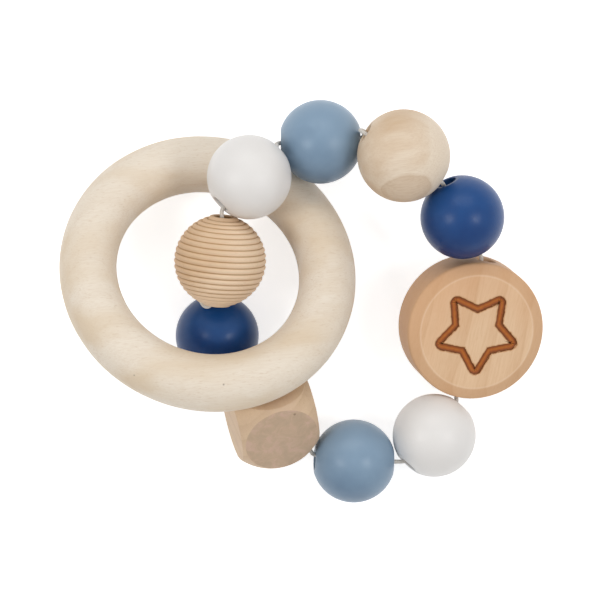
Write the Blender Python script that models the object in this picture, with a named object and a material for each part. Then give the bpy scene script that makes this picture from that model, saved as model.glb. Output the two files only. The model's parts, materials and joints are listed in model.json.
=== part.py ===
"""Wooden baby rattle: a teething ring linked with a closed loop of ten beads on elastic cord."""

import math

import bmesh
import bpy
from mathutils import Matrix, Vector
from mathutils.bvhtree import BVHTree

# Driving dimensions, in metres and degrees
CONTACT_GAP = 0.0003  # between pieces that touch

RING_OUTER_DIA = 0.0712
RING_TUBE_DIA = 0.0138
RING_CENTRE = (-21.7, 6.8)  # rough, in layout units
RING_AXIS_HEADING = -20.0  # the level line through the ring's middle

PAINTED_DIA = 0.0200
LAYOUT_UNIT = PAINTED_DIA / 20  # the rough layout grows with the beads
NATURAL_DIA = 0.0220
BORE_DIA = 0.0046
POLE_FLAT_WIDTH = 0.0009  # round each mouth of a ball's bore
GROOVE_COUNT = 19
GROOVE_DEPTH = 0.00045

DISC_DIA = 0.0334
DISC_THICKNESS = 0.0124
DISC_EDGE_WIDTH = 0.0027
DISC_EDGE_DROP = 0.0010
DISC_EDGE_ROUND = 0.0006
STAR_DIA = 0.0208  # across its rounded tips
STAR_WAIST = 0.54
STAR_LINE = 0.0017
STAR_DEPTH = 0.0005
STAR_TURN = 10.0  # from the bore to the star's nearest tip

CUBE_SIDE = 0.0191
CUBE_BALL_DIA = 0.0261  # the ball that trims the cube's corners
CUBE_BORE_LENGTH = 0.0260
CUBE_EDGE_ROUND = 0.0005

CORD_DIA = 0.0010
KNOT_GAP = 0.00045  # round the knot, in its bore
KNOT_LENGTH = 0.0050

# How finely round shapes are divided
BALL_STEPS = 28
RIBBED_STEPS = 32
RING_STEPS = (56, 16)
DISC_STEPS = 48
SETTLE_STEPS = 600
SPAN_POINTS = 30  # along the cord while it is pulled tight between two beads' middles
SPAN_STEPS = 300
CORD_BEND = 14.0  # degrees that the cord turns before it takes another point

# Each bead in threading order: shape, colour, rough middle in layout units, heading and climb of its bore,
# and turn about the bore
BEADS = {
    "white_bead_upper": ("ball", "white_paint", (-12.5, 28.4, 25.5), (44, -9), 0),
    "light_blue_bead_upper": ("ball", "light_blue_paint", (4.4, 38.3, 17.7), (0, 0), 0),
    "natural_bead": ("natural", "bare_beech", (26.9, 32.8, 25.5), (-30, -8), 0),
    "navy_bead_outer": ("ball", "navy_paint", (38.0, 16.5, 17.8), (-65, -16), 0),
    "star_disc": ("disc", "bare_maple", (38.6, -7.7, 10.7), (-102.4, -10), 166),
    "white_bead_lower": ("ball", "white_paint", (29.9, -27.6, 10.0), (-132, 7), 0),
    "light_blue_bead_lower": ("ball", "light_blue_paint", (14.0, -34.9, 11.0), (178, 5), 0),
    "cube_bead": ("cube", "bare_beech", (-5.3, -26.1, 13.0), (139.4, 2.8), 160),
    "navy_bead_inner": ("ball", "navy_paint", (-17.6, -11.1, 10.0), (99, 15), 0),
    "ribbed_bead": ("ribbed", "bare_maple", (-18.6, 9.8, 21.5), (85, 10), 0),
}

COLOURS = {
    "white_paint": (0.78, 0.75, 0.70),
    "light_blue_paint": (0.24, 0.34, 0.45),
    "navy_paint": (0.026, 0.075, 0.21),
    "bare_beech": (0.72, 0.58, 0.43),
    "bare_maple": (0.62, 0.42, 0.24),
    "white_elastic": (0.82, 0.82, 0.80),
}


def finish_mesh(name, build):
    """A new object called name from the mesh that is in build, with its faces turned outwards."""
    bmesh.ops.remove_doubles(build, verts=build.verts, dist=1e-6)
    bmesh.ops.recalc_face_normals(build, faces=build.faces)
    mesh = bpy.data.meshes.new(name)
    build.to_mesh(mesh)
    build.free()
    thing = bpy.data.objects.new(name, mesh)
    bpy.context.scene.collection.objects.link(thing)
    return thing


def lathe(name, profile, steps, closed):
    """Turns a profile of (radius, height) points about Z. A closed profile has a bore through it."""
    build = bmesh.new()
    points = [build.verts.new((radius, 0, height)) for radius, height in profile]
    edges = [build.edges.new(pair) for pair in zip(points, points[1:])]
    if closed:
        edges.append(build.edges.new((points[-1], points[0])))
    bmesh.ops.spin(
        build, geom=points + edges, cent=(0, 0, 0), axis=(0, 0, 1), angle=math.tau, steps=steps, use_merge=True
    )
    return finish_mesh(name, build)


def cutter(thing):
    thing.hide_render = True
    thing.display_type = "WIRE"
    return thing


def boolean(target, tool, operation):
    change = target.modifiers.new(operation.lower(), "BOOLEAN")
    change.operation = operation
    change.solver = "EXACT"
    change.object = tool


def made_solid(target, tool, operation):
    """Applies one Boolean, so that the object's mesh holds its result."""
    boolean(target, cutter(tool), operation)
    graph = bpy.context.evaluated_depsgraph_get()
    result = bpy.data.meshes.new_from_object(target.evaluated_get(graph))
    target.modifiers.clear()
    target.data = result
    bpy.data.objects.remove(tool)


def ball_length(diameter):
    """The ball's length along its bore, between its pole flats."""
    return math.sqrt(diameter**2 - (BORE_DIA + 2 * POLE_FLAT_WIDTH) ** 2)


def ball_profile(radius, depth_at=lambda point: 0.0, points=12):
    """The bored ball's outline: the bore, a rounded mouth, the pole flat, and the ball itself."""
    bore = BORE_DIA / 2
    flat = bore + POLE_FLAT_WIDTH
    top = ball_length(2 * radius) / 2
    rounding = POLE_FLAT_WIDTH * 0.4
    angle = math.acos(flat / radius)
    arc = []
    for k in range(points + 1):
        turn = -angle + 2 * angle * k / points
        here = radius - depth_at(k)
        arc.append((here * math.cos(turn), here * math.sin(turn)))
    upper = [(bore + rounding, top), (bore, top - rounding)]
    lower = [(bore, rounding - top), (bore + rounding, -top)]
    return arc + upper + lower


def make_ball(name, diameter):
    return lathe(name, ball_profile(diameter / 2), BALL_STEPS, True)


def make_ribbed(name):
    def grooves(k):
        return GROOVE_DEPTH if k % 2 else 0.0

    return lathe(name, ball_profile(NATURAL_DIA / 2, grooves, 2 * GROOVE_COUNT), RIBBED_STEPS, True)


def bore_tool(length):
    build = bmesh.new()
    bmesh.ops.create_cone(
        build, cap_ends=True, segments=20, radius1=BORE_DIA / 2, radius2=BORE_DIA / 2, depth=length
    )
    return finish_mesh("bore_tool", build)


def star_prism(size, depth, tip_cut):
    """A five-pointed star's prism about Z, with one tip at +X. Each tip is rounded off from tip_cut back."""
    build = bmesh.new()
    rim = []
    for k in range(10):
        reach = size if k % 2 == 0 else size * STAR_WAIST
        turn = math.tau * k / 10
        rim.append(build.verts.new((reach * math.cos(turn), reach * math.sin(turn), -depth)))
    face = build.faces.new(rim)
    tips = [point for k, point in enumerate(rim) if k % 2 == 0]
    bmesh.ops.bevel(build, geom=tips, offset=tip_cut, segments=4, affect="VERTICES", profile=0.5)
    raised = bmesh.ops.extrude_face_region(build, geom=build.faces[:])
    moved = [point for point in raised["geom"] if isinstance(point, bmesh.types.BMVert)]
    bmesh.ops.translate(build, verts=moved, vec=(0, 0, 2 * depth))
    return finish_mesh("star_prism", build)


def make_disc(name):
    """The disc, turned flat, engraved and bored across, then stood with its bore along Z and its face at +X."""
    radius, half = DISC_DIA / 2, DISC_THICKNESS / 2
    shoulder = radius - DISC_EDGE_ROUND
    drop = half - DISC_EDGE_DROP
    side = [(radius, drop - DISC_EDGE_ROUND), (shoulder + 0.0002, drop - DISC_EDGE_ROUND * 0.3), (shoulder, drop)]
    upper = side + [(radius - DISC_EDGE_WIDTH, half), (0, half)]
    lower = [(r, -z) for r, z in reversed(upper)]
    disc = lathe(name, lower + upper, DISC_STEPS, False)

    # The star's outer outline lies one line's width outside its inner one, and is round about each inner tip
    waist_turn = math.radians(36)
    half_tip = math.atan2(STAR_WAIST * math.sin(waist_turn), 1 - STAR_WAIST * math.cos(waist_turn))
    inner_reach = STAR_DIA / 2 - STAR_LINE
    outer_reach = inner_reach + STAR_LINE / math.sin(half_tip)
    band = star_prism(outer_reach, STAR_DEPTH, STAR_LINE / math.tan(half_tip))
    inside = star_prism(inner_reach, STAR_DEPTH * 3, STAR_LINE * 0.1)
    made_solid(band, inside, "DIFFERENCE")
    band.data.transform(Matrix.Translation((0, 0, half)) @ Matrix.Rotation(math.radians(STAR_TURN), 4, "Z"))
    made_solid(disc, band, "DIFFERENCE")

    bore = bore_tool(DISC_DIA * 1.2)
    bore.data.transform(Matrix.Rotation(math.pi / 2, 4, "Y"))
    made_solid(disc, bore, "DIFFERENCE")
    # Bore (X) to Z, face (Z) to X
    disc.data.transform(Matrix(((0, 0, 1, 0), (0, -1, 0, 0), (1, 0, 0, 0), (0, 0, 0, 1))))
    return disc


def make_cube(name):
    """The cube with its corners trimmed to a ball, stood corner up with its bore along Z."""
    build = bmesh.new()
    bmesh.ops.create_cube(build, size=CUBE_SIDE)
    bmesh.ops.bevel(build, geom=build.edges[:], offset=CUBE_EDGE_ROUND, segments=2, affect="EDGES", profile=0.5)
    cube = finish_mesh(name, build)
    corner_up = Matrix.Rotation(-math.atan(math.sqrt(2)), 4, "Y") @ Matrix.Rotation(-math.pi / 4, 4, "Z")
    cube.data.transform(corner_up)
    radius, half = CUBE_BALL_DIA / 2, CUBE_BORE_LENGTH / 2
    reach = math.asin(half / radius)
    turns = [reach * (k / 10 - 1) for k in range(21)]
    arc = [(radius * math.cos(turn), radius * math.sin(turn)) for turn in turns]
    made_solid(cube, lathe("corner_ball", [(0, -half)] + arc + [(0, half)], 36, False), "INTERSECT")
    made_solid(cube, bore_tool(CUBE_BALL_DIA * 1.2), "DIFFERENCE")
    return cube


def make_ring(name):
    """The ring's tube about Z, with its middle at the origin."""
    around, across = RING_STEPS
    tube = RING_TUBE_DIA / 2
    middle = RING_OUTER_DIA / 2 - tube
    turns = [math.tau * k / across for k in range(across)]
    profile = [(middle + tube * math.cos(turn), tube * math.sin(turn)) for turn in turns]
    return lathe(name, profile, around, True)


def pose(middle, heading, climb, turn):
    """A place whose Z looks along heading and climb, turned about that line."""
    turned = Matrix.Rotation(math.radians(heading), 4, "Z") @ Matrix.Rotation(math.radians(90 - climb), 4, "Y")
    return Matrix.Translation(middle) @ turned @ Matrix.Rotation(math.radians(turn), 4, "Z")


class Piece:
    """A piece while the layout settles: its middle moves, and its directions stay."""

    def __init__(self, thing, place, bore_length, reach):
        self.thing = thing
        self.turned = place.to_3x3()
        self.middle = place.to_translation()
        self.home = self.middle.copy()
        self.half_bore = bore_length / 2
        self.reach = reach  # of the ball that the piece sweeps as it turns about its bore, if it can
        build = bmesh.new()
        build.from_mesh(thing.data)
        self.surface = BVHTree.FromBMesh(build)
        self.lowest = -min((self.turned @ point.co).z for point in build.verts)
        build.free()

    def outside(self, point):
        """How far the point lies outside this piece, and the way out."""
        local = self.turned.inverted() @ (point - self.middle)
        near, normal, _, _ = self.surface.find_nearest(local)
        away = local - near
        # Beside a sharp rim the face that is found may look a little away from an outside point
        if away.dot(normal) < -0.5 * away.length:
            return -away.length, self.turned @ normal
        return away.length, self.turned @ away.normalized()


def gap_between(first, second):
    """The gap between two beads: to the ball that each sweeps, or to the cube's own wood as it lies."""
    if second.reach is None:
        first, second = second, first
    if first.reach is None:
        return first.outside(second.middle)[0] - second.reach
    return (second.middle - first.middle).length - first.reach - second.reach


def ring_line(ring):
    """Points round the middle of the ring's tube."""
    middle = (RING_OUTER_DIA - RING_TUBE_DIA) / 2
    turns = [math.tau * k / 90 for k in range(90)]
    return [ring.middle + ring.turned @ Vector((middle * math.cos(t), middle * math.sin(t), 0)) for t in turns]


def lay_ring(ring, cube):
    """Rests the ring with its low side on the ground and its raised side on the cube."""
    turn = math.radians(RING_AXIS_HEADING)
    level = Vector((math.cos(turn), math.sin(turn), 0))
    tube, middle = RING_TUBE_DIA / 2, (RING_OUTER_DIA - RING_TUBE_DIA) / 2
    low, high = 0.0, math.radians(60)
    for _ in range(16):
        tilt = (low + high) / 2
        ring.turned = Matrix.Rotation(-tilt, 3, level)
        ring.middle = Vector((*RING_CENTRE, 0)) * LAYOUT_UNIT
        ring.middle.z = tube + middle * math.sin(tilt)
        if min(cube.outside(point)[0] for point in ring_line(ring)) < tube + CONTACT_GAP:
            low = tilt
        else:
            high = tilt


def settle(loop, ring, cube):
    """Moves the beads until neighbours touch, nothing overlaps and none is under the ground."""
    count = len(loop)
    lay_ring(ring, cube)
    tube_line = ring_line(ring)
    for step in range(SETTLE_STEPS):
        for i, first in enumerate(loop):
            for j in range(i + 1, count):
                second = loop[j]
                change = gap_between(first, second) - CONTACT_GAP
                if j - i in (1, count - 1) or change < 0:
                    way = (second.middle - first.middle).normalized()
                    first.middle += way * change * 0.4
                    second.middle -= way * change * 0.4
        for piece in loop:
            if step < SETTLE_STEPS / 2:
                piece.middle += (piece.home - piece.middle) * 0.05
            if piece is not cube:
                nearest = min(tube_line, key=lambda point: (point - piece.middle).length_squared)
                away = piece.middle - nearest
                short = piece.reach + RING_TUBE_DIA / 2 + CONTACT_GAP - away.length
                piece.middle += away.normalized() * max(0.0, short)
            piece.middle.z = max(piece.middle.z, piece.lowest)
        if step % 10 == 9:
            lay_ring(ring, cube)
            tube_line = ring_line(ring)


def cord_route(loop, ring):
    """The cord's line from each bead's middle to the next, pulled tight through the bores and round the wood."""
    clear = CORD_DIA / 2 + CONTACT_GAP * 1.7
    spans = []
    for piece, after in zip(loop, loop[1:] + loop[:1]):
        out, into = piece.turned.col[2], after.turned.col[2]
        start, end = piece.middle + out * piece.half_bore, after.middle - into * after.half_bore
        pull = (end - start).length * 1.3
        bend = []
        for k in range(13):
            t = k / 12
            a, b = 2 * t**3 - 3 * t**2 + 1, t**3 - 2 * t**2 + t
            c, d = 3 * t**2 - 2 * t**3, t**3 - t**2
            bend.append(start * a + out * pull * b + end * c + into * pull * d)
        inner = [piece.middle.lerp(start, share / 5) for share in range(5)]
        outer = [end.lerp(after.middle, share / 5) for share in range(1, 6)]
        span = evenly(inner + bend + outer, SPAN_POINTS)
        for step in range(SPAN_STEPS):
            pulling = step < SPAN_STEPS * 0.8
            for k in range(1, SPAN_POINTS):
                pull = 0.25 if pulling else 0.04
                point = span[k] * (1 - 2 * pull) + (span[k - 1] + span[k + 1]) * pull
                pushes = [near.outside(point) for near in (piece, after, ring)]
                span[k] = point + sum((way * max(0.0, clear - gap) for gap, way in pushes), Vector())
            if step % 20 == 19 and pulling:
                span = evenly(span, SPAN_POINTS)
        spans.append(span)
    return spans


def evenly(line, count):
    """The same line through count + 1 evenly spaced points."""
    along = [0.0]
    for first, second in zip(line, line[1:]):
        along.append(along[-1] + (second - first).length)
    result, k = [line[0]], 0
    for step in range(1, count):
        wanted = along[-1] * step / count
        while along[k + 1] < wanted:
            k += 1
        result.append(line[k].lerp(line[k + 1], (wanted - along[k]) / (along[k + 1] - along[k])))
    return result + [line[-1]]


def make_cord(name, route):
    curve = bpy.data.curves.new(name, "CURVE")
    curve.dimensions = "3D"
    curve.bevel_depth = CORD_DIA / 2
    curve.bevel_resolution = 2
    curve.use_fill_caps = True
    line = curve.splines.new("POLY")
    line.points.add(len(route) - 1)
    for point, place in zip(line.points, route):
        point.co = (*place, 1)
    thing = bpy.data.objects.new(name, curve)
    bpy.context.scene.collection.objects.link(thing)
    return thing


def make_knot(name):
    """Two rounded lobes about Z, as the drawn-up knot fills the bore."""
    radius, half = BORE_DIA / 2 - KNOT_GAP, KNOT_LENGTH / 2
    outline = [(0.0, -1.0), (0.6, -0.94), (0.92, -0.72), (1.0, -0.45), (0.93, -0.15), (0.84, 0.0)]
    outline += [(r, -z) for r, z in reversed(outline[:-1])]
    return lathe(name, [(radius * r, half * z) for r, z in outline], 16, False)


def material(name):
    finish = bpy.data.materials.new(name)
    finish.use_nodes = True
    shader = finish.node_tree.nodes["Principled BSDF"]
    shader.inputs["Base Color"].default_value = (*COLOURS[name], 1)
    shader.inputs["Roughness"].default_value = 0.35 if "paint" in name else 0.6
    return finish


def dress(thing, finish):
    thing.data.materials.clear()
    thing.data.materials.append(material(finish))
    if thing.type == "MESH":
        thing.data.shade_smooth()
        thing.data.set_sharp_from_angle(angle=math.radians(35))


def main():
    for thing in list(bpy.data.objects):
        bpy.data.objects.remove(thing)
    makers = {
        "ball": lambda name: make_ball(name, PAINTED_DIA),
        "natural": lambda name: make_ball(name, NATURAL_DIA),
        "ribbed": make_ribbed,
        "disc": make_disc,
        "cube": make_cube,
    }
    disc_reach = math.hypot(DISC_DIA / 2, DISC_THICKNESS / 2 - DISC_EDGE_DROP - DISC_EDGE_ROUND)
    reaches = {"ball": PAINTED_DIA / 2, "natural": NATURAL_DIA / 2, "ribbed": NATURAL_DIA / 2}
    reaches.update(disc=disc_reach, cube=None)
    lengths = {"disc": DISC_DIA, "cube": CUBE_BORE_LENGTH}
    loop = []
    for name, (shape, finish, middle, (heading, climb), turn) in BEADS.items():
        thing = makers[shape](name)
        dress(thing, finish)
        place = pose(Vector(middle) * LAYOUT_UNIT, heading, climb, turn)
        length = lengths.get(shape) or ball_length(2 * reaches[shape])
        loop.append(Piece(thing, place, length, reaches[shape]))
    ring_thing = make_ring("teething_ring")
    dress(ring_thing, "bare_beech")
    ring = Piece(ring_thing, Matrix(), 0, RING_OUTER_DIA / 2)
    cube = loop[list(BEADS).index("cube_bead")]
    lay_ring(ring, cube)
    settle(loop, ring, cube)

    # Halfway between the outermost pieces lies X = Y = 0
    spots = [(piece, point) for piece in loop + [ring] for point in (v.co for v in piece.thing.data.vertices)]
    placed = [piece.middle + piece.turned @ point for piece, point in spots]
    shift = Vector([-(min(p[k] for p in placed) + max(p[k] for p in placed)) / 2 for k in (0, 1)] + [0])
    for piece in loop + [ring]:
        piece.middle += shift
        piece.thing.matrix_world = Matrix.Translation(piece.middle) @ piece.turned.to_4x4()

    # The cord starts and ends at the knot, in the middle of the disc's bore
    disc = list(BEADS).index("star_disc")
    spans = cord_route(loop, ring)
    spans = spans[disc:] + spans[:disc]
    bore, middle = loop[disc].turned.col[2], loop[disc].middle
    inset = KNOT_LENGTH / 2 + CONTACT_GAP
    line = [point for span in spans for point in span[:-1]] + [spans[-1][-1]]
    line = [point for point in line if (point - middle).length > inset + CONTACT_GAP]
    line = [middle + bore * inset] + line + [middle - bore * inset]
    route = [line[0]]
    turned = 0.0
    for before, point, after in zip(line, line[1:], line[2:]):
        turned += math.degrees((point - before).angle(after - point))
        if turned > CORD_BEND or (point - route[-1]).length > 4 * CORD_DIA:
            route.append(point)
            turned = 0.0
    route.append(line[-1])
    cord = make_cord("elastic_cord", route)
    dress(cord, "white_elastic")
    knot = make_knot("cord_knot")
    dress(knot, "white_elastic")
    knot.matrix_world = Matrix.Translation(middle) @ loop[disc].turned.to_4x4()


main()
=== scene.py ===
"""Looks of the wooden grasping rattle: a bare ring linked with a loop of ten beads on elastic.

Each class is one kind of piece. A piece is modelled in millimetres about the origin with its bore along Z,
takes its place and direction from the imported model's joints, and is dressed in its finish. The room, the
lamps and the camera come last.
"""

import json
import logging
import math
import sys
from collections.abc import Callable, Sequence
from dataclasses import dataclass, field
from enum import Enum
from functools import partial

import bmesh
import bpy
import numpy as np
from mathutils import Matrix, Vector

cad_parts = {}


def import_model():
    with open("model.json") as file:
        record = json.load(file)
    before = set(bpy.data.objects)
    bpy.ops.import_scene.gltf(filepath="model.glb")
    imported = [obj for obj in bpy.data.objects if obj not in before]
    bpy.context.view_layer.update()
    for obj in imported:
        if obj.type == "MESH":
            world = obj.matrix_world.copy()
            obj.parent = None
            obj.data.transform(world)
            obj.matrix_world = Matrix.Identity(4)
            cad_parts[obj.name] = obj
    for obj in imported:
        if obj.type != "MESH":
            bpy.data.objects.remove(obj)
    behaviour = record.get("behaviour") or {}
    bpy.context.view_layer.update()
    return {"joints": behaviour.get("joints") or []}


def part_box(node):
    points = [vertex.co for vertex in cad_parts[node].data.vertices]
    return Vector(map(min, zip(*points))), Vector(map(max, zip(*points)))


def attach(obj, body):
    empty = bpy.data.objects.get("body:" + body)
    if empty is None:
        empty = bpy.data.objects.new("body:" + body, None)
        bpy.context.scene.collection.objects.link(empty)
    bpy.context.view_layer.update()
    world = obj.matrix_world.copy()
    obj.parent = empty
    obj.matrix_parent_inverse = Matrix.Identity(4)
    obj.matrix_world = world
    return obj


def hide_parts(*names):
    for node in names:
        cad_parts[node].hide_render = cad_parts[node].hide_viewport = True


log = logging.getLogger("rattle")

MM = 0.001
NEAR = 1e-3  # millimetres, for finding points by their place

Colour = tuple[float, float, float, float]
Socket = bpy.types.NodeSocket
AddNode = Callable[..., bpy.types.Node]

ORIGIN, UP = (0.0, 0.0, 0.0), (0.0, 0.0, 1.0)
STANDING = (math.pi / 2, 0.0, 0.0)  # stands a flat outline up in X and Z
STAR_CORNER = math.radians(36)  # from a tip of the star round to its next inner corner
SENSOR_WIDTH = 36.0  # of the camera, in millimetres

# Kinds of node that are used often
MATH, VECTOR_MATH, NOISE = "ShaderNodeMath", "ShaderNodeVectorMath", "ShaderNodeTexNoise"
MIX, RAMP, RANGE = "ShaderNodeMix", "ShaderNodeValToRGB", "ShaderNodeMapRange"


class Slot(Enum):
    """The record's material slots."""

    WHITE = "white_paint"
    LIGHT_BLUE = "light_blue_paint"
    NAVY = "navy_paint"
    BEECH = "bare_beech"
    MAPLE = "bare_maple"
    ELASTIC = "white_elastic"


class Grain(Enum):
    """Which way the fibres run in a piece, in the piece's own directions."""

    ALONG_BORE = (0.0, 0.0, 1.0)
    LEVEL = (0.0, 1.0, 0.0)


# ---------------------------------------------------------------------------------------------------------
# Colours, nodes and places


def linear(hex_colour: str) -> Colour:
    """Turns an sRGB hex colour into a linear one.

    Args:
        hex_colour: a # and six hex digits.

    Returns:
        Red, green, blue and alpha, where alpha is 1.
    """
    digits = hex_colour.lstrip("#")
    values = [int(digits[k : k + 2], 16) / 255 for k in (0, 2, 4)]
    red, green, blue = (v / 12.92 if v <= 0.04045 else ((v + 0.055) / 1.055) ** 2.4 for v in values)
    return (red, green, blue, 1.0)


def set_node(node: bpy.types.Node, values: dict[str | int, object]) -> None:
    """Sets a node's properties and inputs.

    Args:
        node: the node.
        values: values by property or by input. One that is another node's output is linked, and "stops" lists
            a colour ramp's (place, colour) pairs.
    """
    for key, value in values.items():
        if isinstance(value, Socket):
            node.id_data.links.new(value, node.inputs[key])
        elif key == "stops":
            ramp = node.color_ramp.elements
            while len(ramp) < len(value):
                ramp.new(1.0)
            for stop, (place, colour) in zip(ramp, value):
                stop.position, stop.color = place, colour
        elif isinstance(key, str) and hasattr(node, key):
            setattr(node, key, value)
        else:
            node.inputs[key].default_value = value


def add_node(
    tree: bpy.types.NodeTree, kind: str, values: dict[str | int, object] | None = None
) -> bpy.types.Node:
    """Adds one node with its settings and links.

    Args:
        tree: the tree that the node goes into.
        kind: the node's type name.
        values: as in set_node.

    Returns:
        The new node.
    """
    node = tree.nodes.new(kind)
    set_node(node, values or {})
    return node


def new_material(name: str) -> tuple[bpy.types.Material, bpy.types.Node, AddNode]:
    """Starts a material.

    Args:
        name: what the surface is made of.

    Returns:
        The material, its surface shader, and add_node for its tree.
    """
    material = bpy.data.materials.new(name)
    material.use_nodes = True
    tree = material.node_tree
    return material, tree.nodes["Principled BSDF"], partial(add_node, tree)


@dataclass(frozen=True)
class Place:
    """Where a piece lies, in metres, and which way it is turned."""

    middle: Vector
    turned: Matrix

    @classmethod
    def on_bore(cls, joint: dict, turn: float = 0.0) -> "Place":
        """The place of a bead whose own Z is the line that it spins about.

        Args:
            joint: the bead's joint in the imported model.
            turn: how far the bead is turned about its bore, in degrees.

        Returns:
            The place.
        """
        bore = Vector(joint["axis"]).normalized()
        heading, climb = math.atan2(bore.y, bore.x), math.asin(bore.z)
        turned = Matrix.Rotation(heading, 3, "Z") @ Matrix.Rotation(math.pi / 2 - climb, 3, "Y")
        return cls(Vector(joint["pos_m"]), turned @ Matrix.Rotation(math.radians(turn), 3, "Z"))

    def matrix(self) -> Matrix:
        """Takes a piece from millimetres about the origin to its place in metres."""
        return Matrix.Translation(self.middle) @ self.turned.to_4x4() @ Matrix.Scale(MM, 4)

    def along(self, fibres: Vector, outward: Vector) -> Matrix:
        """The grain's directions in the row frame, with the fibres along Z and the bark's side towards X.

        Args:
            fibres: which way the fibres run, in the piece's own directions.
            outward: roughly which way the tree grew outwards, in the row frame.

        Returns:
            The directions as the columns of a turn.
        """
        z = (self.turned @ fibres).normalized()
        y = z.cross(outward).normalized()
        return Matrix((y.cross(z), y, z)).transposed()

    def in_millimetres(self, turned: Matrix, spot: Socket) -> dict[str, object]:
        """Settings that map a place to millimetres from the piece's middle.

        Args:
            turned: the directions to measure along, as the columns of a turn.
            spot: the place, in metres, in the row frame.

        Returns:
            A mapping node's values.
        """
        scale = {"vector_type": "TEXTURE", "Scale": (MM, MM, MM)}
        return scale | {"Location": self.middle, "Rotation": turned.to_euler(), "Vector": spot}


# ---------------------------------------------------------------------------------------------------------
# Finishes


# How dark a year's growth looks from its start to its end, as (place, darkness) pairs: a dense line before
# the end, a slow rise with a sharp end, or a fine dark line at the turn of a pale year
LATE_WOOD_LINE = ((0.0, 0.35), (0.10, 0.05), (0.55, 0.0), (0.86, 0.55), (0.94, 1.0), (1.0, 0.35))
LATE_WOOD_RISE = ((0.0, 1.0), (0.05, 0.1), (0.45, 0.0), (1.0, 1.0))
ONE_YEAR_END = ((0.0, 1.0), (0.012, 0.15), (0.08, 0.0), (0.75, 0.0), (1.0, 1.0))


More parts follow.
